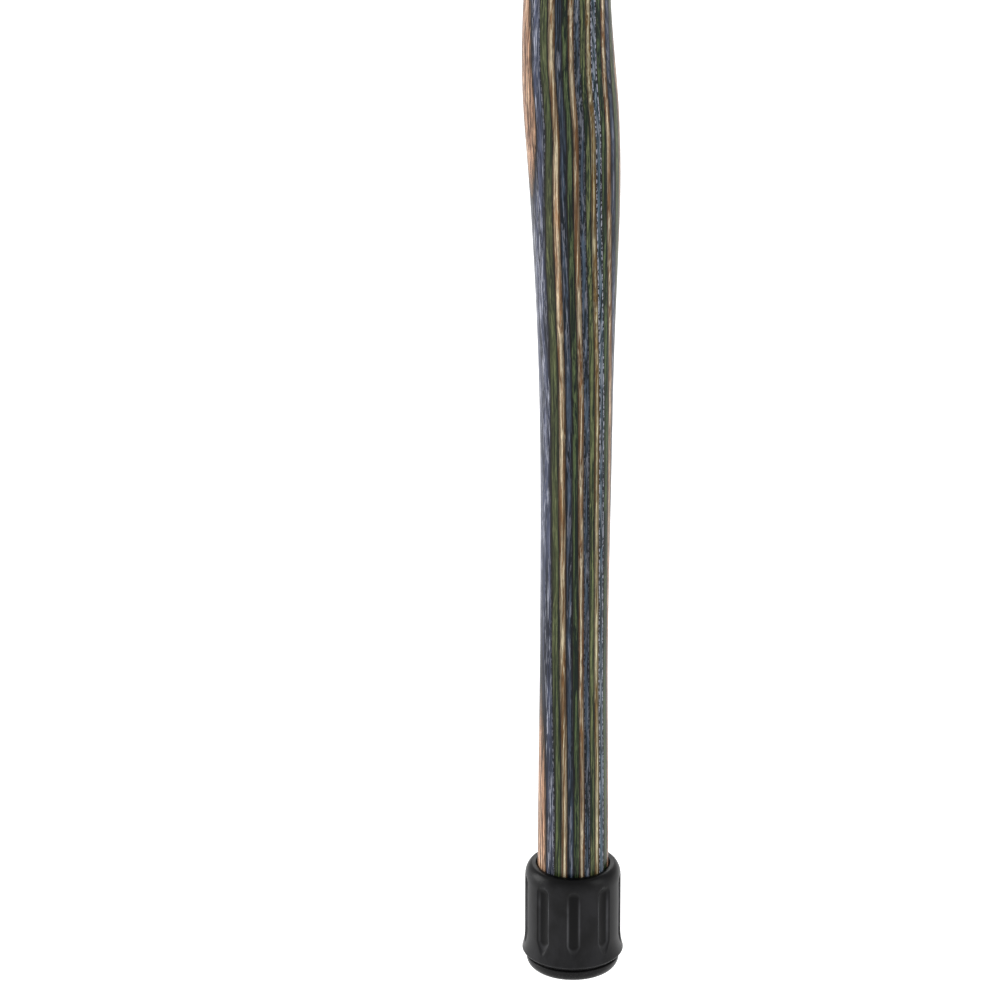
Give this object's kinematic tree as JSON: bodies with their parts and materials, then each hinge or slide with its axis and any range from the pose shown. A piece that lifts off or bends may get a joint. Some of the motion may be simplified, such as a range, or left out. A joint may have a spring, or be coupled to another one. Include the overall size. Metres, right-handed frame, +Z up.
{
  "type": "twisted walking cane",
  "caption": "Straight walking cane carved with a slow twist from coloured laminated veneers, with a derby handle, a metal collar and a fluted rubber tip.",
  "frame": {"origin": "centre of the rubber tip's flat underside", "axes": "+Z up the shaft, +X towards the handle's nose, the veneers lie across Y"},
  "size_m": [0.1361, 0.0301, 0.9134],
  "materials": {
    "veneer_green": "olive green dyed veneer under a clear gloss coat, fine upright grain",
    "veneer_tan": "natural tan veneer under a clear gloss coat, fine upright grain",
    "veneer_blue": "slate blue dyed veneer under a clear gloss coat, fine upright grain",
    "collar_brass": "polished",
    "steel": "plain zinc plated",
    "rubber": "satin black moulded rubber"
  },
  "bodies": {
    "cane": {"collar": "collar_brass", "handle_ply_04": "veneer_green", "handle_ply_05": "veneer_tan", "handle_ply_06": "veneer_blue", "handle_ply_07": "veneer_green", "handle_ply_08": "veneer_tan", "handle_ply_09": "veneer_blue", "handle_ply_10": "veneer_green", "handle_ply_11": "veneer_tan", "handle_ply_12": "veneer_blue", "handle_ply_13": "veneer_green", "handle_ply_14": "veneer_tan", "handle_ply_15": "veneer_blue", "handle_ply_16": "veneer_green", "handle_ply_17": "veneer_tan", "handle_ply_18": "veneer_blue", "handle_ply_19": "veneer_green", "handle_ply_20": "veneer_tan", "handle_ply_21": "veneer_blue", "handle_ply_22": "veneer_green", "handle_ply_23": "veneer_tan", "handle_ply_24": "veneer_blue", "joining_stud": "steel", "shaft_ply_04": "veneer_green", "shaft_ply_05a": "veneer_tan", "shaft_ply_05b": "veneer_tan", "shaft_ply_06a": "veneer_blue", "shaft_ply_06b": "veneer_blue", "shaft_ply_07a": "veneer_green", "shaft_ply_07b": "veneer_green", "shaft_ply_07c": "veneer_green", "shaft_ply_08a": "veneer_tan", "shaft_ply_08b": "veneer_tan", "shaft_ply_09": "veneer_blue", "shaft_ply_10": "veneer_green", "shaft_ply_11": "veneer_tan", "shaft_ply_12": "veneer_blue", "shaft_ply_13": "veneer_green", "shaft_ply_14": "veneer_tan", "shaft_ply_15": "veneer_blue", "shaft_ply_16": "veneer_green", "shaft_ply_17": "veneer_tan", "shaft_ply_18": "veneer_blue", "shaft_ply_19": "veneer_green", "shaft_ply_20": "veneer_tan", "shaft_ply_21": "veneer_blue", "shaft_ply_22a": "veneer_green", "shaft_ply_22b": "veneer_green", "shaft_ply_23a": "veneer_tan", "shaft_ply_23b": "veneer_tan", "shaft_ply_23c": "veneer_tan", "shaft_ply_24": "veneer_blue", "shaft_ply_25": "veneer_green"},
    "tip": {"rubber_tip": "rubber", "tip_washer": "steel"}
  },
  "joints": [
    {"name": "tip_pull_off", "type": "slide", "parent": "cane", "child": "tip", "axis": [0, 0, -1], "range_m": [0, 0.03]}
  ]
}
